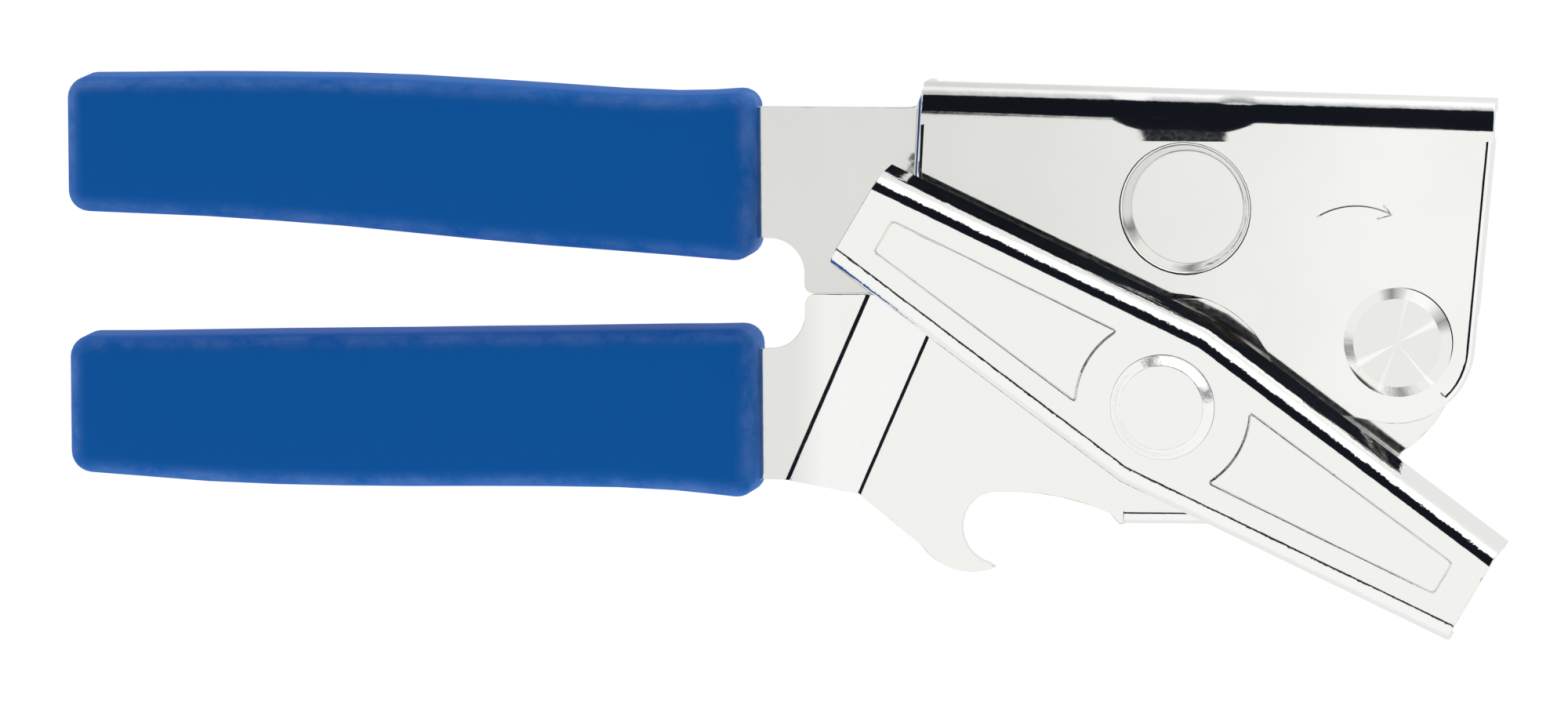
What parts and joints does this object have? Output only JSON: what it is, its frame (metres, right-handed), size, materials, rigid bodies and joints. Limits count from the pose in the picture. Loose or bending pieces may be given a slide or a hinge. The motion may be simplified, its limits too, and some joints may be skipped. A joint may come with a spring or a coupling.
{
  "type": "manual can opener",
  "caption": "Hand can opener with hinged vinyl-grip handles, a butterfly crank that turns a serrated feed wheel, a geared cutter wheel and a bottle opener hook.",
  "frame": {"origin": "middle of the outline on the plane that the opener lies on", "axes": "+Z out of the back towards the crank, -X along the closed handles towards the grips, +Y from the lower handle to the upper handle"},
  "size_m": [0.1845, 0.07, 0.0227],
  "materials": {
    "plated_steel": "bright nickel plate over pressed steel",
    "blue_vinyl": "matte dipped vinyl, slightly dusty at its edges",
    "turned_steel": "fine turned rings",
    "bronze": "satin sintered bronze",
    "zinc_steel": "bright zinc plate",
    "spring_steel": "dark oiled",
    "gear_steel": "satin, case hardened",
    "blade_steel": "ground bevel"
  },
  "bodies": {
    "upper_handle": {"upper_plate": "plated_steel", "upper_grip": "blue_vinyl", "pivot_rivet": "turned_steel", "pivot_spacer": "bronze", "pivot_washer": "zinc_steel", "cutter_stud": "zinc_steel", "spring_washer": "spring_steel", "cutter_screw": "zinc_steel"},
    "lower_handle": {"lower_plate": "plated_steel", "lower_grip": "blue_vinyl", "shaft_bushing": "bronze", "thrust_washer": "zinc_steel"},
    "crank_train": {"crank": "plated_steel", "crank_spacer": "zinc_steel", "drive_shaft": "zinc_steel", "drive_gear": "gear_steel", "feed_wheel": "gear_steel", "lock_washer": "spring_steel", "shaft_nut": "zinc_steel"},
    "cutter_train": {"cutter_gear": "gear_steel", "cutter_hub": "gear_steel", "cutter_wheel": "blade_steel"}
  },
  "joints": [
    {"name": "handle_pivot", "type": "hinge", "parent": "upper_handle", "child": "lower_handle", "pos_m": [0.07804, 0.00225, 0.01], "axis": [0, 0, 1], "range_deg": [0, 40]},
    {"name": "crank_spin", "type": "hinge", "parent": "lower_handle", "child": "crank_train", "pos_m": [0.0494, -0.00529, 0.01], "axis": [0, 0, 1], "continuous": true},
    {"name": "cutter_spin", "type": "hinge", "parent": "upper_handle", "child": "cutter_train", "pos_m": [0.05109, 0.01885, 0.005], "axis": [0, 0, 1], "continuous": true}
  ],
  "couplings": [
    {"joint": "cutter_spin", "follows": "crank_spin", "ratio": -1}
  ]
}
